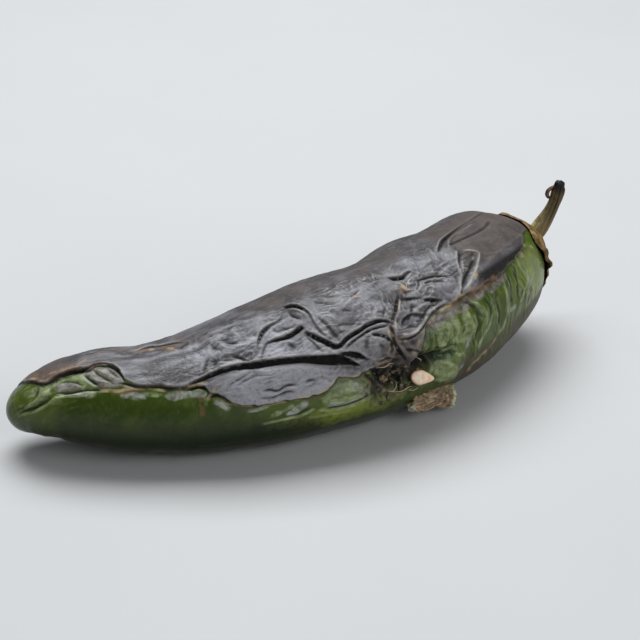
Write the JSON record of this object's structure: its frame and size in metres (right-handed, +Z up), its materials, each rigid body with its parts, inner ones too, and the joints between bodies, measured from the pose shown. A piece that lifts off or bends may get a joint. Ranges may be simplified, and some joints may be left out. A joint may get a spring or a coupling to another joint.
{
  "type": "grilled jalapeno",
  "caption": "Whole grilled jalapeno lying on its side, with charred wrinkled skin, a burst flank showing a seed and a torn flap, and a dried calyx and stem.",
  "frame": {"origin": "on the table, under the middle of the whole part's bounding box", "axes": "+X along the pod from its tip to its stem end, +Z up, and the flank with the burst faces -Y"},
  "size_m": [0.0988, 0.033, 0.0239],
  "materials": {
    "charred_skin": "semi-gloss green skin under dull black char",
    "dry_stem": "dull, fibrous and dried"
  },
  "bodies": {
    "root": {"pod": "charred_skin", "stem_and_calyx": "dry_stem"}
  },
  "joints": []
}
